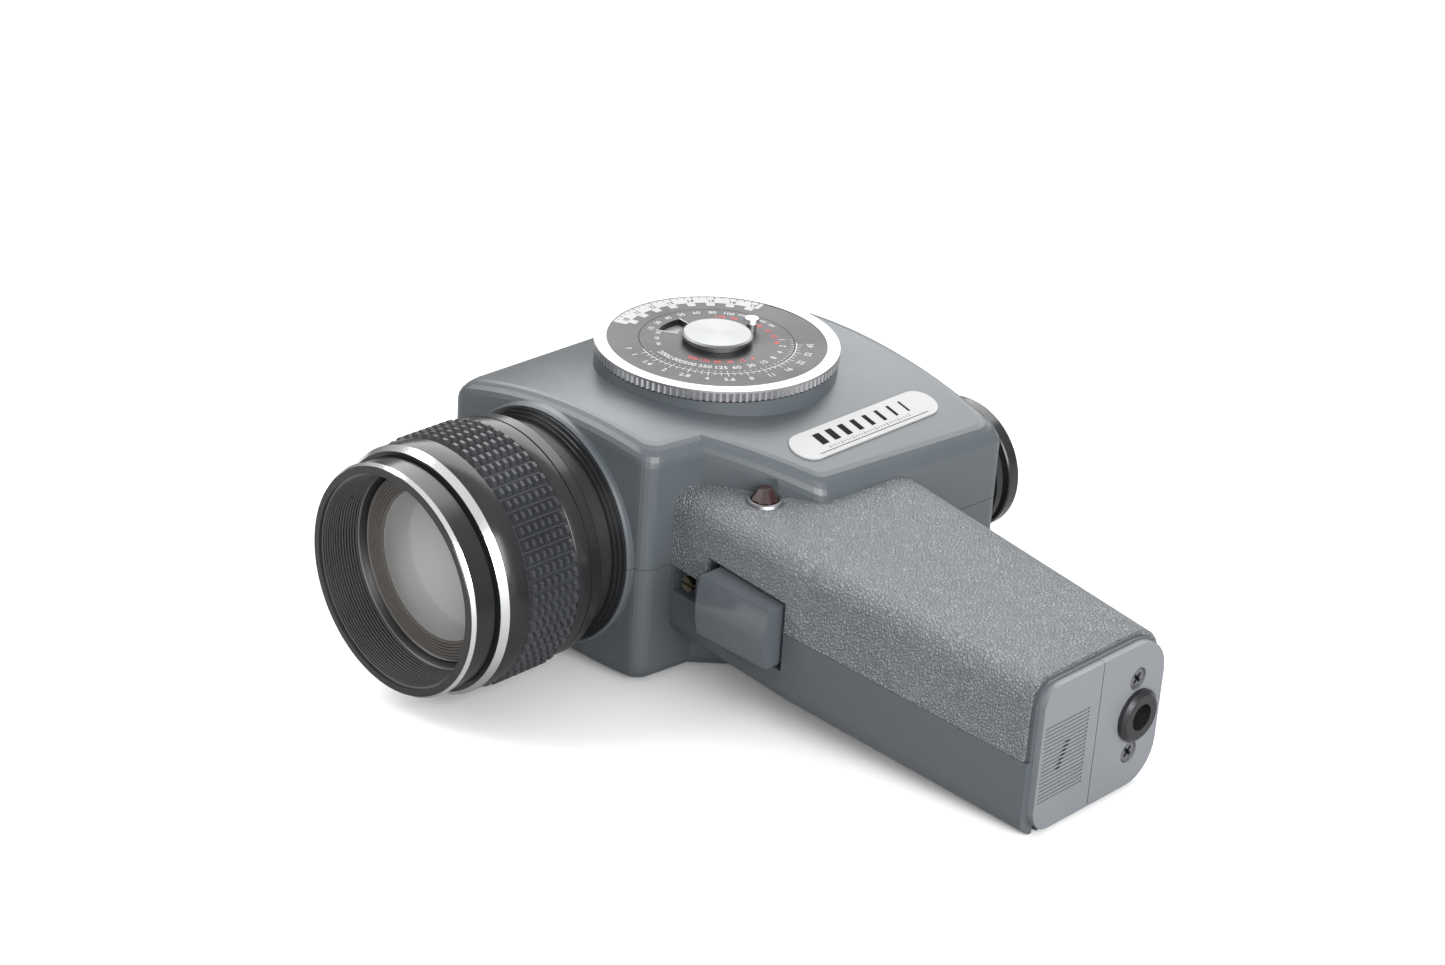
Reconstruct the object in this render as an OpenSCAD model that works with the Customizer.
// Pistol-grip spot light meter, lying on its right side with the exposure dial up.
// Millimetres. The origin is the centre of the filter thread at the front of the lens:
// the optical axis is the Y axis (the lens looks along -Y), the grip points along +X
// and the dial faces +Z. The two body shells part in the plane Z = 0.

/* [Body] */
// optical axis to the side wall away from the grip
body_left = 35.5; // [33:0.5:40]
// optical axis to the side wall of the lens box, on the grip side
body_right = 33.2; // [32:0.2:38]
// front wall, behind the lens rim
body_front = 48.7; // [44:0.1:56]
// rear wall, behind the lens rim
body_rear = 140.5; // [137:0.5:160]
// parting plane to the top of the crowned dial side
body_top = 32; // [29:0.5:36]
// parting plane to the crowned underside
body_bottom = 32; // [29:0.5:36]
// radius of the crown across the dial side
crown_r = 147; // [120:1:300]
// shell wall thickness
wall = 2.4; // [1.8:0.2:3]
// edge rounding of the shells
edge_r = 4; // [2.5:0.5:5]

/* [Shoulder over the grip] */
// corner where the lens box meets the shoulder
notch_y = 64.5; // [60:0.5:70]
// front corner of the shoulder, from the optical axis
shoulder_x = 60.5; // [56:0.5:68]
// front corner of the shoulder, behind the lens rim
shoulder_y = 79; // [74:0.5:90]
// rear corner, from the optical axis
rear_x = 65; // [64:0.5:72]

/* [Grip] */
// end face of the grip shells, from the optical axis
grip_end = 147; // [125:1:175]
// half thickness of the grip under its cover
grip_half = 18.5; // [17:0.5:22]
// front edge of the grip at its end
grip_front = 53.2; // [51.5:0.1:56]
// depth of the grip at its end, front to back
grip_depth = 43; // [41:0.1:50]
// depth of the grip at its root
root_depth = 54.5; // [50:0.5:60]
// thickness of the grained cover
cover_t = 1; // [0.8:0.1:1.4]

/* [Lens] */
// filter thread radius, M52 x 0.75
thread_r = 26; // [26:0.25:27]
// largest radius of the front rim
rim_r = 28.4; // [28.2:0.1:30]
// radius of the focusing ring
focus_r = 30.3; // [29.9:0.1:31]
// radius over the rubber studs
stud_r = 30.9; // [30.5:0.1:31.5]
// rows of rubber studs along the lens
stud_rows = 7; // [5:1:9]
// radius of the clear front glass
glass_r = 19; // [16:0.5:20]

/* [Dial] */
// dial axis, from the optical axis towards the grip
dial_x = 6.75; // [0:0.25:12]
// dial axis, behind the lens rim
dial_y = 97; // [92:0.5:102]
// height of the dial faces over the parting plane
dial_top = 37; // [36:0.5:42]
// outer radius of the knurled ring
dial_r = 30.1; // [28:0.1:31]
// knurls round the ring
dial_knurls = 120; // [60:1:150]
// radius of the inner calculator disc
disc_r = 19; // [17:0.5:21]
// radius of the hub cap
hub_r = 8.7; // [7:0.1:9.5]

/* [Eyepiece] */
// eyepiece axis, from the optical axis towards the grip
eye_x = 47; // [42:0.5:48]
// eyepiece axis over the parting plane
eye_z = 4.5; // [2:0.5:5]
// radius of the turning ring
eye_r = 16.9; // [15:0.1:17.2]
// how far the ring stands behind the rear wall
eye_out = 8; // [7:0.5:12]

/* [Trigger] */
// length of the trigger along the grip
trigger_len = 22; // [18:0.5:24]
// height of the trigger
trigger_h = 15.2; // [12:0.2:17]
// trigger start, from the optical axis
trigger_x = 50.8; // [49:0.2:54]
// travel of the trigger
trigger_travel = 3; // [2:0.5:3.5]

/* [Tripod socket] */
// radius of the 1/4 inch thread
socket_r = 3.175; // [3.175:0.001:3.2]
// radius of the collar
socket_collar_r = 6.3; // [5.5:0.1:7]

/* [Hidden] */
$fn = 96;
e = 0.02;
shell_blue = [0.36, 0.40, 0.43];
black = [0.06, 0.06, 0.065];
steel = [0.72, 0.72, 0.72];
brass = [0.72, 0.58, 0.32];
white = [0.88, 0.88, 0.86];
glass = [0.75, 0.8, 0.8, 0.5];
crown_x = 12;
step_y = 100;
lift = eye_z;
rear_front_y = body_front;
cover_x = grip_end - 1.2;
plate_t = 1.75;
plate_out = grip_end + plate_t;
plate_top = grip_half - 0.4;
joint_y = grip_front + 20.3;
bush_y = grip_front + 34.2;
grip_rear = grip_front + grip_depth;
root_front = grip_front + 5.3;
zero_x = body_right + 6.3;
meter_x = 24;
meter_z = 1;
needle_y = dial_y + 23.6;
trig_face = grip_front - 4.6;
ring_low = dial_top - 2.5;
hood_end = 7.1;
ring_start = 7.8;
rubber_start = 16;
rubber_end = 31.2;
ring_end = 38.8;
tube_out = 25.8;
tube_in = 22.6;
neck_r = 26.8;
flange_r = 29.2;
boss_r = 30.1;
boss_in = 29.3;
cell_r = 22.5;
eye_wall = body_rear;
eye_end = body_rear + eye_out;
screw_spots = [[-28.5, 57, 4.6], [-28.5, 131, 4.6], [4, 133.5, 4.6], [120, 90, 14]];

// ---- helpers -------------------------------------------------------------

// solid of revolution about the optical axis, drawn as [radius, y]
module lathe(points) {
    rotate([-90, 0, 0])
        rotate_extrude()
            polygon(points);
}

// same about a parallel axis at x, z
module lathe_at(x, z, points) {
    translate([x, 0, z])
        lathe(points);
}

// outline of the lens box, shrunk by d
module box_plan(d) {
    offset(r = edge_r, $fn = 24)
        offset(delta = -edge_r - d)
            polygon([[-body_left, body_front], [body_right, body_front],
                [body_right + 1.8, notch_y], [body_right + 1.8, body_rear - 20],
                [-body_left, body_rear - 20]]);
}

// outline of the rear body, shrunk by d
module rear_plan(d) {
    offset(r = edge_r, $fn = 24)
        offset(delta = -edge_r - d)
            polygon([[-body_left, notch_y - 4], [body_right - 5, notch_y - 4],
                [body_right + 1.8, notch_y], [shoulder_x, shoulder_y],
                [rear_x, body_rear], [-body_left, body_rear]]);
}

// slab under the crowned dial side, d below it
module crown(d, facets = 240) {
    translate([crown_x, 0, body_top - crown_r])
        rotate([-90, 0, 0])
            cylinder(r = crown_r - d, h = body_rear + 10, $fn = facets);
}

// upper half of one body block with its rounded top edges, shrunk by d
module upper_block(front, d) {
    hull()
        for (a = [0, 18, 36, 54, 72, 90])
            intersection() {
                translate([0, 0, -1])
                    linear_extrude(height = body_top + 2)
                        if (front) box_plan(d + edge_r * (1 - cos(a)));
                        else rear_plan(d + edge_r * (1 - cos(a)));
                crown(d + edge_r * (1 - sin(a)));
            }
}

// lower half of one body block, crowned underneath as well
module lower_block(front, d) {
    hull()
        for (a = [0, 18, 36, 54, 72, 90])
            intersection() {
                translate([0, 0, -body_bottom - 1])
                    linear_extrude(height = body_bottom + lift + 2)
                        if (front) box_plan(d + edge_r * (1 - cos(a)));
                        else rear_plan(d + edge_r * (1 - cos(a)));
                translate([crown_x, 0, crown_r - body_bottom])
                    rotate([-90, 0, 0])
                        cylinder(r = crown_r - d - edge_r * (1 - sin(a)),
                            h = body_rear + 10, $fn = 240);
            }
}

// points of a quarter round: centre, radius, start angle
function corner(cy, cz, r, a0) =
    [for (i = [0:8]) [cy + r * cos(a0 + i * 11.25), cz + r * sin(a0 + i * 11.25)]];

// section of the grip with its own rounding at each corner, grown by d
function grip_points(front, rear, half, d) =
    let (s = min(d, 0))
    concat(
        corner(rear + d - 10 - s, half + d - 10 - s, 10 + s, 0),
        corner(front - d + 5 + s, half + d - 5 - s, 5 + s, 90),
        corner(front - d + 6 + s, -half - d + 6 + s, 6 + s, 180),
        corner(rear + d - 9 - s, -half - d + 9 + s, 9 + s, 270));

module grip_slice(x, front, rear, half, d) {
    translate([x, 0, 0])
        rotate([90, 0, 90])
            linear_extrude(height = 0.5)
                polygon(grip_points(front, rear, half, d));
}

// the whole grip, grown by d, from inside the body to x_end
module grip_body(d, x_end) {
    hull() {
        grip_slice(30, root_front, root_front + root_depth + 4, grip_half, d);
        grip_slice(body_right + 41, grip_front + 1.4, grip_front + root_depth - 1,
            grip_half, d);
        grip_slice(x_end - 0.5, grip_front, grip_rear, grip_half, d);
    }
}

// room inside the grip
module grip_room() {
    hull() {
        grip_slice(34, root_front, root_front + root_depth + 1, grip_half, -wall);
        grip_slice(body_right + 41, grip_front + 1.4, grip_front + root_depth - 1,
            grip_half, -wall);
        grip_slice(grip_end - 0.5 + e, grip_front, grip_rear, grip_half, -wall);
    }
}

// everything over (or under) the stepped parting surface
module above_parting(up) {
    h = 60;
    rotate([90, 0, 90])
        translate([0, 0, -60])
            linear_extrude(height = 260)
                if (up) polygon([[0, 0], [step_y, 0], [step_y + 5, lift],
                    [200, lift], [200, h], [0, h]]);
                else polygon([[0, -h], [200, -h], [200, lift - 0.15],
                    [step_y + 5, lift - 0.15], [step_y, -0.15], [0, -0.15]]);
}

// slot in the grip's front for the trigger, with the recess of the zero screw beside it
module trigger_slot() {
    translate([trigger_x - 4, grip_front - 5, -trigger_h / 2 - 2.6])
        cube([trigger_len + 5.2, 14, trigger_h + 2.4]);
    translate([zero_x - 4.2, grip_front - 5, -6.4])
        cube([8, 12.2, 6.25]);
    translate([zero_x, grip_front, -3.2])
        rotate([-90, 0, 0])
            cylinder(r = 1.15, h = 14, $fn = 32);
}

// channels for the battery door's runners, open at the bottom
module door_channels() {
    for (y = [grip_front + 3.5, grip_front + 17.5])
        translate([grip_end - wall - 1, y, -40])
            cube([wall + 2, 1.5, 54]);
    for (y = [grip_front + 2.2, grip_front + 17.5])
        translate([grip_end - wall - 1.15, y, -40])
            cube([1.2, 2.8, 54]);
}

// holes that both shells share
module shell_openings() {
    // lens mount
    lathe([[0, body_front - 4], [neck_r + 0.3, body_front - 4],
        [neck_r + 0.3, body_front + wall + 2], [0, body_front + wall + 2]]);
    // eyepiece
    lathe_at(eye_x, eye_z, [[0, body_rear - 6], [14.3, body_rear - 6],
        [14.3, body_rear + 2], [0, body_rear + 2]]);
    trigger_slot();
    // battery well and tripod bush in the end of the grip
    translate([grip_end - wall - 1, grip_front + 3.5, -grip_half + 4.5])
        cube([wall + 2, 15.5, 2 * grip_half - 9]);
    translate([grip_end - wall - 2, bush_y, 0])
        rotate([0, 90, 0])
            cylinder(r = 5.1, h = wall + 4);
    for (s = [-1, 1])
        translate([grip_end - wall - 2, bush_y - 0.8, s * 9.3])
            rotate([0, 90, 0])
                cylinder(r = 1.15, h = wall + 4, $fn = 32);
}

// raised ring on the front wall that the lens mount sits in
module front_boss() {
    lathe([[boss_in, body_front - 1.7], [boss_r - 0.5, body_front - 1.7],
        [boss_r, body_front - 1.2], [boss_r, body_front + 1], [boss_in, body_front + 1]]);
}

// ---- shells --------------------------------------------------------------

module upper_shell() {
    color(shell_blue)
        difference() {
            union() {
                intersection() {
                    union() {
                        upper_block(true, 0);
                        upper_block(false, 0);
                        grip_body(0, grip_end);
                        front_boss();
                    }
                    above_parting(true);
                }
            }
            difference() {
                union() {
                    upper_block(true, wall);
                    upper_block(false, wall);
                    grip_room();
                }
                // screw posts and end wall stay
                for (p = screw_spots)
                    translate([p[0], p[1], lift])
                        cylinder(r = 3.4, h = 40, $fn = 32);
                translate([grip_end - wall, 0, 0])
                    cube([wall, 200, 40]);
            }
            shell_openings();
            door_channels();
            for (p = screw_spots)
                translate([p[0], p[1], -1])
                    cylinder(r = 1.2, h = lift + 12, $fn = 24);
            // dial screw, label seat, lamp hole
            translate([dial_x, dial_y, 15])
                cylinder(r = 2.1, h = 30);
            label_seat(0.05);
            translate([jewel_x(), jewel_y(), 5])
                cylinder(r = 3.6, h = 30);
            translate([jewel_x(), jewel_y(), grip_half + cover_t])
                cylinder(r = 4.55, h = 4);
        }
}

module lower_shell() {
    color(shell_blue)
        difference() {
            intersection() {
                union() {
                    lower_block(true, 0);
                    lower_block(false, 0);
                    grip_body(cover_t, grip_end);
                    front_boss();
                }
                above_parting(false);
            }
            difference() {
                union() {
                    lower_block(true, wall);
                    lower_block(false, wall);
                    grip_room();
                }
                for (p = screw_spots)
                    translate([p[0], p[1], -40])
                        cylinder(r = 3.4, h = 40 + lift - 0.15, $fn = 32);
                translate([grip_end - wall, 0, -40])
                    cube([wall, 200, 80]);
                // boss behind the zero screw
                translate([zero_x - 5.2, grip_front + 2, -9])
                    cube([10, 8.6, 9 - 0.15]);
            }
            shell_openings();
            door_channels();
            for (p = screw_spots)
                translate([p[0], p[1], 0]) {
                    translate([0, 0, -40])
                        cylinder(r = 1.5, h = 60, $fn = 24);
                    translate([0, 0, -40])
                        cylinder(r = 2.7, h = 40 - (body_bottom - p[2]) + 3.5, $fn = 32);
                }
        }
}

// grained cover moulded over the upper half of the grip
module grip_cover() {
    color(shell_blue * 0.95)
        difference() {
            intersection() {
                grip_body(cover_t, cover_x);
                above_parting(true);
            }
            grip_body(e, grip_end);
            upper_block(true, -0.05);
            upper_block(false, -0.05);
            trigger_slot();
            translate([jewel_x(), jewel_y(), 5])
                cylinder(r = 3.6, h = 30);
        }
}

module shell_screws() {
    color(steel)
        for (p = screw_spots) {
            seat = -(body_bottom - p[2]) + 3.5;
            translate([p[0], p[1], seat])
                difference() {
                    union() {
                        translate([0, 0, -1.6])
                            cylinder(r = 2.5, h = 1.6, $fn = 32);
                        cylinder(r = 1.2, h = lift + 8 - seat, $fn = 24);
                    }
                    for (a = [0, 90])
                        rotate([0, 0, a])
                            translate([-1.5, -0.3, -1.7])
                                cube([3, 0.6, 0.9]);
                }
        }
}

// plate on the dial side, between the dial and the grip
module label_seat(grow) {
    x0 = dial_x + 41.9;
    a = asin((x0 - crown_x) / crown_r);
    translate([crown_x, 0, body_top - crown_r])
        rotate([0, a, 0])
            translate([0, dial_y + 8.5, crown_r - 0.35])
                linear_extrude(height = 0.7 + grow)
                    offset(r = grow)
                        hull()
                            for (s = [-1, 1])
                                translate([0, s * 19.7])
                                    circle(r = 4.7, $fn = 48);
}

module label_plate() {
    color(white)
        label_seat(0);
}

// ---- lens ----------------------------------------------------------------

module lens_tube() {
    color(black)
        lathe([[tube_in, 16], [tube_out, 16], [tube_out, ring_end + 0.6],
            [neck_r, ring_end + 0.6], [neck_r, body_front + wall + 1.5],
            [tube_in - 4, body_front + wall + 1.5], [tube_in - 4, ring_end + 2],
            [tube_in, ring_end]]);
}

// lipped flange between the lens neck and the body
module mount_ring() {
    color(black)
        lathe([[neck_r + 0.03, body_front - 4], [flange_r - 1.4, body_front - 4],
            [flange_r - 1.4, body_front - 3.2], [flange_r - 0.7, body_front - 3.2],
            [flange_r - 0.7, body_front - 2.3], [flange_r, body_front - 2.3],
            [flange_r, body_front - 0.03], [neck_r + 0.03, body_front - 0.03]]);
}

module focus_ring() {
    color(black)
        difference() {
            lathe([[tube_out + 0.05, 17], [27.4, 17], [27.4, ring_start],
                [focus_r - 1.1, ring_start], [focus_r, ring_start + 1.85],
                [focus_r, rubber_start], [focus_r - 0.8, rubber_start],
                [focus_r - 0.8, rubber_end], [focus_r - 0.3, rubber_end],
                [focus_r - 0.3, ring_end - 0.4], [focus_r - 0.7, ring_end],
                [tube_out + 0.05, ring_end]]);
            // engraved index line over part of the ring
            rotate([-90, 0, 0])
                rotate([0, 0, -115])
                    rotate_extrude(angle = 130)
                        translate([focus_r - 0.6, rubber_end + 4])
                            square([1, 0.45]);
        }
}

module focus_rubber() {
    pitch = (rubber_end - rubber_start) / stud_rows;
    r0 = focus_r - 0.8;
    r1 = r0 + 0.45;
    color(black)
        lathe(concat([[r0, rubber_start], [r1, rubber_start]],
            [for (i = [0:stud_rows - 1])
                for (p = [[0.08, 0], [0.28, 1], [0.72, 1], [0.92, 0]])
                    [r1 + p[1] * (stud_r - r1), rubber_start + pitch * (i + p[0])]],
            [[r1, rubber_end], [r0, rubber_end]]));
}

// front barrel with the filter thread, sliding in the tube as the lens focuses
module front_barrel() {
    color(black)
        lathe([[thread_r, 0], [rim_r - 0.7, 0], [rim_r, 1.3], [rim_r - 0.2, 1.3],
            [rim_r - 0.2, hood_end], [27.2, hood_end], [27.2, 15.2], [cell_r, 15.2],
            [cell_r, 34], [20.2, 34], [20.2, 19], [glass_r + 1.2, 19],
            [glass_r + 1.2, 13.6], [23.2, 13.6], [23.2, 11.9], [25.2, 11.2],
            [25.2, 6], [thread_r, 5.6]]);
}

module front_retainer() {
    color([0.3, 0.28, 0.26])
        lathe([[glass_r - 0.6, 13.4], [20.4, 12.9], [21.8, 12.4], [23.1, 12],
            [23.1, 13.55], [glass_r - 0.6, 13.55]]);
}

module front_glass() {
    r = 65;
    rim_at = 13.65;
    clear_r = glass_r - 0.8;
    color(glass)
        union() {
            rotate([-90, 0, 0])
                translate([0, 0, rim_at])
                    cylinder(r = glass_r + 1, h = 4.85);
            intersection() {
                rotate([-90, 0, 0])
                    translate([0, 0, 9])
                        cylinder(r = clear_r, h = rim_at - 8);
                translate([0, rim_at + sqrt(r * r - clear_r * clear_r), 0])
                    rotate([-90, 0, 0])
                        sphere(r = r, $fn = 200);
            }
        }
}

module rear_glass() {
    color(glass)
        rotate([-90, 0, 0])
            translate([0, 0, body_front - 4])
                cylinder(r = tube_in - 4 - 0.05, h = 4.5);
}

// small pin that stops the filter at the end of its thread
module stop_pin() {
    color(steel)
        rotate([0, 205, 0])
            translate([thread_r - 1.6, 6.8, 0])
                rotate([0, 90, 0])
                    cylinder(r = 0.45, h = 0.8, $fn = 24);
}

// ---- exposure dial -------------------------------------------------------

module at_dial() {
    translate([dial_x, dial_y, 0])
        children();
}

module dial_base() {
    color(shell_blue)
        difference() {
            at_dial()
                translate([0, 0, 20])
                    cylinder(r = dial_r - 0.2, h = ring_low - 0.3 - 20);
            translate([crown_x, 0, body_top - crown_r])
                rotate([-90, 0, 0])
                    cylinder(r = crown_r + 0.02, h = 260, $fn = 720);
            at_dial()
                cylinder(r = 2.1, h = 60);
        }
}

module dial_ring() {
    color(steel)
        at_dial()
            difference() {
                translate([0, 0, ring_low])
                    cylinder(r = dial_r, h = 2.5 + 0.15);
                translate([0, 0, ring_low + 0.45])
                    cylinder(r = dial_r - 3.1, h = 5);
                cylinder(r = 2.15, h = 60);
                // knurls
                for (i = [0:dial_knurls - 1])
                    rotate([0, 0, i * 360 / dial_knurls])
                        translate([dial_r, 0, ring_low - 1])
                            rotate([0, 0, 45])
                                translate([-0.33, -0.33, 0])
                                    cube([0.66, 0.66, 3.1]);
            }
}

module fstop_scale() {
    color(black)
        at_dial()
            translate([0, 0, ring_low + 0.45])
                difference() {
                    cylinder(r = dial_r - 3.15, h = 2.05);
                    translate([0, 0, -1])
                        cylinder(r = disc_r + 0.15, h = 5);
                }
}

module speed_print() {
    color(white)
        at_dial()
            translate([0, 0, ring_low + 0.45])
                difference() {
                    cylinder(r = disc_r - 2, h = 0.4);
                    translate([0, 0, -1])
                        cylinder(r = 2.15, h = 5);
                }
}

module time_disc() {
    color(black)
        at_dial()
            difference() {
                translate([0, 0, ring_low + 0.95])
                    cylinder(r = disc_r, h = dial_top - ring_low - 0.95);
                cylinder(r = 2.15, h = 60);
                // film speed window, an arc slot
                translate([0, 0, 20])
                    rotate([0, 0, 173])
                        rotate_extrude(angle = 34)
                            translate([10.2, 0])
                                square([5, 30]);
                // seat of the pin
                translate([0.7, 11.2, dial_top - 0.8])
                    cylinder(r = 1.3, h = 3, $fn = 32);
            }
}

module pin_knob() {
    color(steel)
        at_dial()
            translate([0.7, 11.2, dial_top - 0.8]) {
                cylinder(r = 1.27, h = 0.8, $fn = 32);
                translate([0, 0, 0.8])
                    cylinder(r = 1.3, h = 2.2, $fn = 32);
                translate([0, 0, 3])
                    cylinder(r1 = 1.95, r2 = 1.7, h = 1.1, $fn = 48);
            }
}

module hub_cap() {
    color(steel)
        at_dial()
            translate([0, 0, dial_top + 0.12])
                difference() {
                    rotate_extrude()
                        polygon([[0, 0], [hub_r - 1, 0], [hub_r - 1, 0.5], [hub_r, 1],
                            [hub_r, 1.7], [hub_r - 0.5, 2.1], [0, 2.1]]);
                    translate([0, 0, -1])
                        cylinder(r = 2.05, h = 2);
                }
}

module hub_screw() {
    color(steel)
        at_dial()
            translate([0, 0, 22]) {
                cylinder(r = 2.04, h = dial_top + 1.1 - 22);
                translate([0, 0, -1.5])
                    cylinder(r = 3.4, h = 1.5, $fn = 6);
            }
}

// ---- optics inside the body ----------------------------------------------

chassis_z = -16;

module optics_chassis() {
    color([0.5, 0.5, 0.5])
        difference() {
            union() {
                translate([-20, 62, chassis_z])
                    cube([53, 66, 1.6]);
                translate([30, 88, chassis_z])
                    cube([26, 40, 1.6]);
                // ribs down to the lower shell
                for (x = [-16, 26])
                    translate([x, 66, -body_bottom + wall + 3])
                        cube([2, 60, body_bottom - wall - 3 + chassis_z + 0.5]);
            }
            translate([-10, 74, chassis_z - 1])
                cube([14, 14, 4]);
        }
}

// a plate standing on edge, turned about Z
module upright(x, y, z, w, t, h, a) {
    translate([x, y, z])
        rotate([0, 0, a])
            translate([-w / 2, -t / 2, -h / 2])
                cube([w, t, h]);
}

module beam_splitter() {
    color(glass)
        upright(0, dial_y + 2, 0, 28, 1.2, 26, 45);
}

module fold_mirror() {
    color([0.8, 0.82, 0.85])
        upright(eye_x, dial_y + 2, 2, 26, 2, 26, 45);
}

module mirror_clips() {
    color([0.35, 0.35, 0.35]) {
        difference() {
            upright(0, dial_y + 2, -8.2, 32, 4, 12.4, 45);
            upright(0, dial_y + 2, 0, 28.1, 1.25, 26.1, 45);
            translate([0, 60, 3])
                rotate([-90, 0, 0])
                    cylinder(r = 10, h = 80);
            translate([-1, dial_y + 2, 3])
                rotate([0, 90, 0])
                    cylinder(r = 10, h = 40);
        }
        difference() {
            upright(eye_x, dial_y + 2, -8.2, 30, 5, 12.4, 45);
            upright(eye_x, dial_y + 2, 2, 26.1, 2.05, 26.1, 45);
        }
    }
}

module relay_lens() {
    steps = 12;
    color(glass)
        translate([24, dial_y + 2, 1])
            rotate([0, 90, 0])
                rotate_extrude()
                    polygon(concat(
                        [for (i = [0:steps]) [9 * i / steps, -3 + 1.4 * pow(i / steps, 2)]],
                        [for (i = [steps:-1:0]) [9 * i / steps, 3 - 1.4 * pow(i / steps, 2)]]));
}

module relay_holder() {
    color(black)
        difference() {
            translate([21, dial_y + 2 - 11, chassis_z + 1.65])
                cube([6, 22, 27]);
            translate([18, dial_y + 2, 1])
                rotate([0, 90, 0])
                    cylinder(r = 9.05, h = 12);
        }
}

module photocell() {
    color([0.75, 0.7, 0.6])
        difference() {
            union() {
                translate([0, dial_y + 22, 0])
                    rotate([-90, 0, 0])
                        cylinder(r = 5, h = 6);
                translate([-6, dial_y + 24, chassis_z + 1.65])
                    cube([12, 3, 10.5]);
            }
            translate([0, dial_y + 21, 0])
                rotate([-90, 0, 0])
                    cylinder(r = 4, h = 1.8);
        }
}

module reticle() {
    color(glass)
        translate([eye_x, dial_y + 21, eye_z])
            rotate([-90, 0, 0])
                cylinder(r = 9.5, h = 1.2);
}

// moving-coil meter whose needle swings across the finder's picture
module meter_case() {
    color([0.25, 0.25, 0.27])
        difference() {
            translate([meter_x - 8.6, needle_y + 1, chassis_z + 1.65])
                cube([17.2, 11.6, meter_z + 9 - chassis_z]);
            translate([meter_x, needle_y, meter_z])
                rotate([-90, 0, 0])
                    cylinder(r = 7.3, h = 11.4);
        }
}

module meter_magnet() {
    color(steel)
        translate([meter_x, needle_y + 1.6, meter_z])
            rotate([-90, 0, 0])
                difference() {
                    cylinder(r = 7.27, h = 9);
                    translate([0, 0, -1])
                        cylinder(r = 4.4, h = 12);
                }
}

module meter_needle() {
    color([0.15, 0.15, 0.15])
        translate([meter_x, needle_y, meter_z]) {
            translate([0, 1.9, 0])
                rotate([-90, 0, 0])
                    cylinder(r = 3.6, h = 8);
            rotate([-90, 0, 0])
                translate([0, 0, -0.5])
                    cylinder(r = 0.8, h = 3, $fn = 24);
            rotate([0, 12, 0])
                translate([0, -0.2, -0.25])
                    cube([eye_x - meter_x + 3, 0.4, 0.5]);
        }
}

// ---- eyepiece ------------------------------------------------------------

module eye_tube() {
    color(black)
        lathe_at(eye_x, eye_z, [[11.2, body_rear - 18], [14.2, body_rear - 18],
            [14.2, body_rear + 0.05], [eye_r - 0.5, body_rear + 0.05],
            [eye_r - 0.5, body_rear + 2.1], [eye_r - 2, body_rear + 2.1],
            [eye_r - 2, body_rear + 4.1], [13.4, body_rear + 4.1],
            [13.4, eye_end - 1.6], [11.2, eye_end - 1.6]]);
}

module eye_ring() {
    color(black)
        lathe_at(eye_x, eye_z, [[13.45, body_rear + 4.25], [eye_r - 0.3, body_rear + 4.25],
            [eye_r, body_rear + 4.6], [eye_r, eye_end - 0.4], [eye_r - 0.4, eye_end],
            [12, eye_end], [10.5, eye_end - 1.4], [13.45, eye_end - 1.4]]);
}

module eye_glass() {
    color(glass)
        intersection() {
            translate([eye_x, eye_end - 7, eye_z])
                rotate([-90, 0, 0])
                    cylinder(r = 11.15, h = 5);
            translate([eye_x, eye_end - 2.4 - 40, eye_z])
                sphere(r = 40);
        }
}

module field_glass() {
    color(glass)
        translate([eye_x, body_rear - 15, eye_z])
            rotate([-90, 0, 0])
                cylinder(r = 11.15, h = 3);
}

// ---- trigger, switch, zero screw ------------------------------------------

module trigger() {
    h = trigger_h;
    face = trig_face;
    steps = 16;
    color([0.38, 0.42, 0.46])
        union() {
            translate([trigger_x, 0, -h / 2 - 1.2])
                rotate([90, 0, 90])
                    linear_extrude(height = trigger_len)
                        polygon(concat(
                            [for (i = [0:steps])
                                [face + 1.2 * pow(2 * i / steps - 1, 2), h * i / steps]],
                            [[grip_front + 4.5, h], [grip_front + 4.5, 0]]));
            // stem that reaches the switch
            translate([trigger_x + 7, grip_front + 4, -4])
                cube([8, 14.7 - 4 - trigger_travel, 6]);
        }
}

module trigger_guide() {
    color(black)
        difference() {
            translate([trigger_x + 2, grip_front + 14.2 - 2.6, -7])
                cube([18, 2.6, 12]);
            translate([trigger_x + 6.6, grip_front + 9, -4.5])
                cube([8.8, 10, 7]);
        }
}

module switch_body() {
    color([0.2, 0.2, 0.22])
        translate([trigger_x + 1, grip_front + 16, -5])
            cube([20, 6.4, 10]);
}

module switch_leaf() {
    color(brass)
        translate([trigger_x + 5, grip_front + 14.9, -2.5])
            difference() {
                cube([13, 1.05, 4]);
                translate([3, 0.5, -1])
                    cube([20, 2, 6]);
            }
}

module zero_screw() {
    color([0.7, 0.66, 0.55])
        translate([zero_x, grip_front + 4, -3.2])
            rotate([-90, 0, 0])
                difference() {
                    union() {
                        cylinder(r = 1.8, h = 3, $fn = 48);
                        cylinder(r = 1.1, h = 10, $fn = 32);
                    }
                    translate([-2.5, -0.35, -1])
                        cube([5, 0.7, 1.9]);
                }
}

// ---- battery lamp --------------------------------------------------------

function jewel_x() = 51.4;
function jewel_y() = grip_front + 15.9;

module jewel() {
    color([0.35, 0.06, 0.05])
        translate([jewel_x(), jewel_y(), grip_half - 3])
            rotate([0, 0, 22.5]) {
                cylinder(r = 3.35, h = 5, $fn = 8);
                translate([0, 0, 5])
                    cylinder(r1 = 3.35, r2 = 1.6, h = 2.6, $fn = 8);
            }
}

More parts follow.
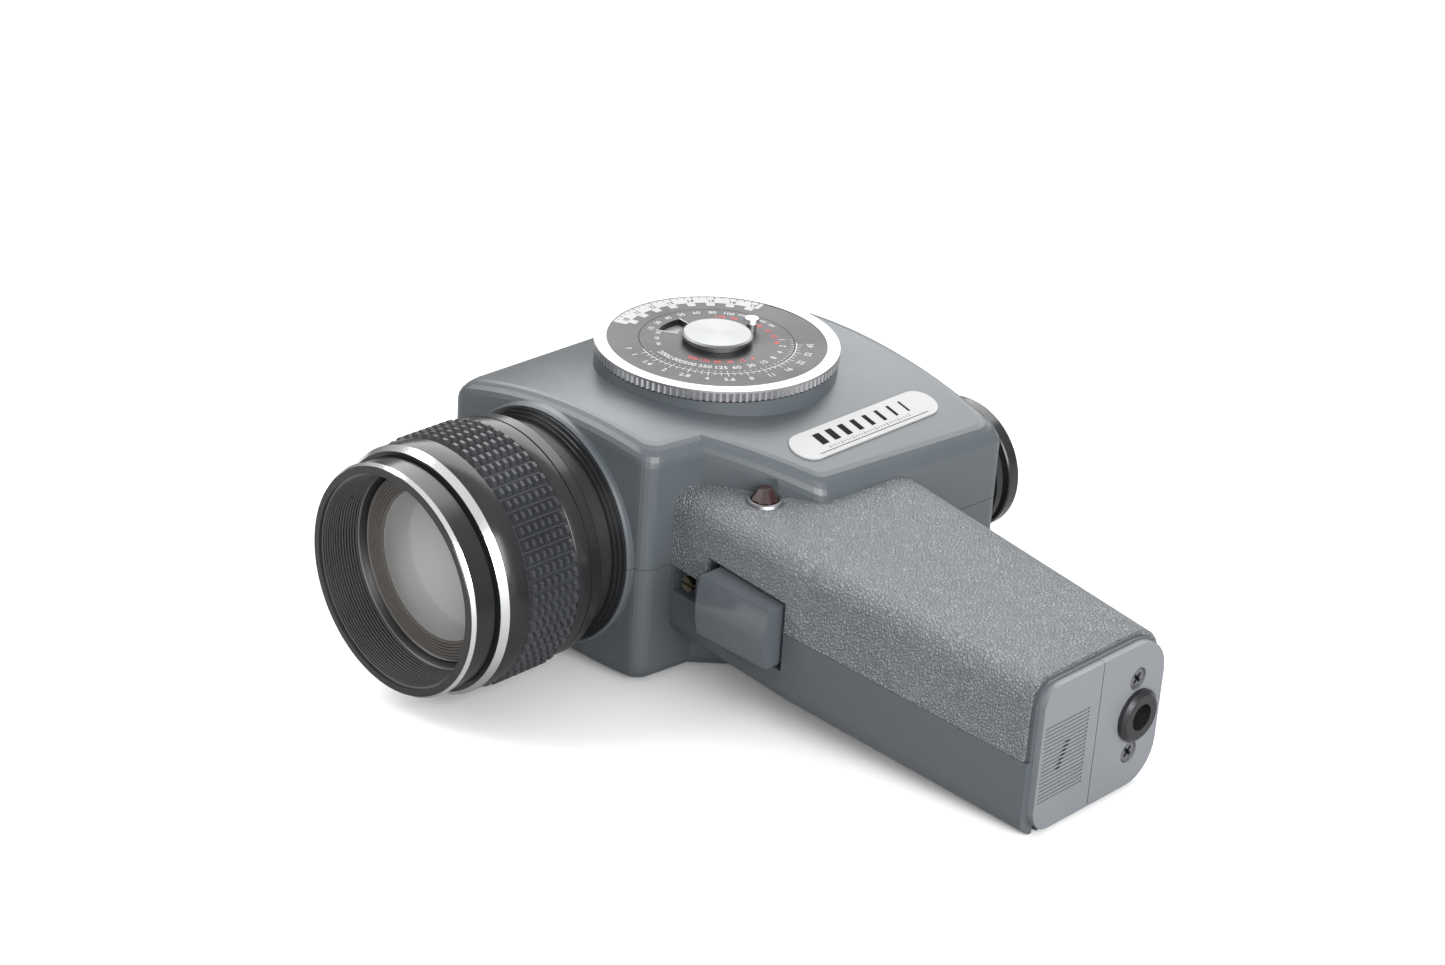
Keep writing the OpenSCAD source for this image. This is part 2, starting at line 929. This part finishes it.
module jewel_bezel() {
    color([0.45, 0.46, 0.47])
        translate([jewel_x(), jewel_y(), grip_half + cover_t + 0.03])
            difference() {
                cylinder(r1 = 4.45, r2 = 4.2, h = 0.7);
                translate([0, 0, -1])
                    cylinder(r = 3.45, h = 4);
            }
}

module lamp_bulb() {
    color(glass)
        translate([jewel_x(), jewel_y(), grip_half - 8]) {
            cylinder(r = 1.9, h = 3.2, $fn = 32);
            translate([0, 0, 3.2])
                sphere(r = 1.5, $fn = 32);
        }
}

module lamp_socket() {
    color(brass)
        translate([jewel_x(), jewel_y(), grip_half - 13])
            difference() {
                cylinder(r = 3.2, h = 7, $fn = 48);
                translate([0, 0, 5])
                    cylinder(r = 1.95, h = 4, $fn = 32);
            }
}

// ---- end of the grip -----------------------------------------------------

// end outline between two depths, with the grip's own corners rounded
module end_plan(from_y, to_y) {
    intersection() {
        polygon(grip_points(grip_front + 0.8, grip_rear, grip_half - 0.3, -0.15));
        translate([from_y, -40])
            square([to_y - from_y, 80]);
    }
}

module end_plate(from_y, to_y) {
    translate([grip_end + 0.02, 0, 0])
        rotate([90, 0, 90])
            linear_extrude(height = plate_t)
                end_plan(from_y, to_y);
}

// sliding door with a ribbed thumb patch and an arrow
module battery_door() {
    ribs = 20;
    y0 = grip_front + 1.8;
    z0 = -10.4;
    color(shell_blue)
        union() {
            difference() {
                end_plate(grip_front, joint_y - 0.1);
                for (i = [0:ribs - 1])
                    translate([plate_out - 0.3, y0, z0 + i * 0.97])
                        cube([1, 15, 0.5]);
            }
            // runners hooked behind the end wall
            for (y = [grip_front + 3.65, grip_front + 17.65])
                translate([grip_end - wall - 1, y, -11])
                    cube([wall + 1.1, 1.2, 24]);
            for (y = [grip_front + 2.4, grip_front + 17.65])
                translate([grip_end - wall - 1, y, -11])
                    cube([0.9, 2.45, 24]);
        }
}

module tripod_plate() {
    color(shell_blue)
        difference() {
            end_plate(joint_y + 0.1, grip_rear);
            translate([grip_end - 1, bush_y, 0])
                rotate([0, 90, 0])
                    cylinder(r = 5.1, h = 5);
            for (s = [-1, 1])
                translate([grip_end - 1, bush_y - 0.8, s * 9.3])
                    rotate([0, 90, 0]) {
                        cylinder(r = 1.3, h = 5, $fn = 32);
                        translate([0, 0, 1.6])
                            cylinder(r = 2.7, h = 5, $fn = 48);
                    }
        }
}

module plate_screws() {
    color(steel)
        for (s = [-1, 1])
            translate([grip_end + 0.65, bush_y - 0.8, s * 9.3])
                rotate([0, 90, 0])
                    difference() {
                        union() {
                            cylinder(r = 2.3, h = 0.8, $fn = 48);
                            translate([0, 0, -8])
                                cylinder(r = 1.1, h = 8, $fn = 32);
                        }
                        for (a = [45, 135])
                            rotate([0, 0, a])
                                translate([-1.3, -0.28, 0.2])
                                    cube([2.6, 0.56, 1]);
                    }
}

module tripod_bush() {
    color([0.2, 0.2, 0.2])
        translate([grip_end, bush_y, 0])
            rotate([0, 90, 0])
                rotate_extrude()
                    polygon([[socket_r, -10], [5, -10], [5, plate_t + 0.05],
                        [socket_collar_r, plate_t + 0.05], [socket_collar_r, plate_t + 1.1],
                        [socket_collar_r - 1, plate_t + 1.8], [socket_r, plate_t + 1.8]]);
}

// ---- battery and circuit -------------------------------------------------

batt_y = grip_front + 12.5;

module battery_box() {
    color([0.16, 0.16, 0.17])
        translate([grip_end - 60, batt_y, 0])
            difference() {
                translate([0, -7.2, -14.1])
                    cube([60 - wall - 1.2, 14.6, 28.2]);
                translate([1.2, -6.4, -13.3])
                    cube([60, 12.8, 26.6]);
            }
}

// 9 V block
module battery() {
    color([0.2, 0.22, 0.26])
        translate([grip_end - 4 - 45, batt_y - 6.2, -13.1]) {
            cube([45, 12.4, 26.2]);
            for (s = [-1, 1])
                translate([-2.2, 6.2, 13.1 + s * 6.3])
                    rotate([0, 90, 0])
                        cylinder(r = 2.6, h = 2.3, $fn = 32);
        }
}

module battery_snap() {
    color(black)
        translate([grip_end - 4 - 45 - 5.6, batt_y - 6, -12])
            difference() {
                cube([3.3, 12, 24]);
                for (s = [-1, 1])
                    translate([2.5, 6, 12 + s * 6.3])
                        rotate([0, 90, 0])
                            cylinder(r = 2.7, h = 2, $fn = 32);
            }
}

module circuit_board() {
    color([0.35, 0.4, 0.2])
        translate([-24, 61.5, 12])
            difference() {
                cube([44, 26, 1.6]);
                for (x = [3, 41])
                    for (y = [3, 23])
                        translate([x, y, -1])
                            cylinder(r = 1.1, h = 4, $fn = 24);
            }
}

module board_chips() {
    color([0.12, 0.12, 0.12])
        translate([-24, 61.5, 12]) {
            translate([6, 8, -3.2])
                cube([10, 7, 3.2]);
            translate([22, 6, -4.5])
                cube([4, 12, 4.5]);
            translate([34, 13, -7])
                cylinder(r = 3, h = 7, $fn = 32);
            for (i = [0:3])
                translate([8 + i * 5, 21, -1.8])
                    cube([3.2, 1.8, 1.8]);
        }
}

upper_shell();
lower_shell();
grip_cover();
shell_screws();
label_plate();
lens_tube();
mount_ring();
focus_ring();
focus_rubber();
front_barrel();
front_retainer();
front_glass();
rear_glass();
stop_pin();
dial_base();
dial_ring();
fstop_scale();
speed_print();
time_disc();
pin_knob();
hub_cap();
hub_screw();
optics_chassis();
beam_splitter();
fold_mirror();
mirror_clips();
relay_lens();
relay_holder();
photocell();
reticle();
meter_case();
meter_magnet();
meter_needle();
eye_tube();
eye_ring();
eye_glass();
field_glass();
trigger();
trigger_guide();
switch_body();
switch_leaf();
zero_screw();
jewel();
jewel_bezel();
lamp_bulb();
lamp_socket();
battery_door();
tripod_plate();
plate_screws();
tripod_bush();
battery_box();
battery();
battery_snap();
circuit_board();
board_chips();
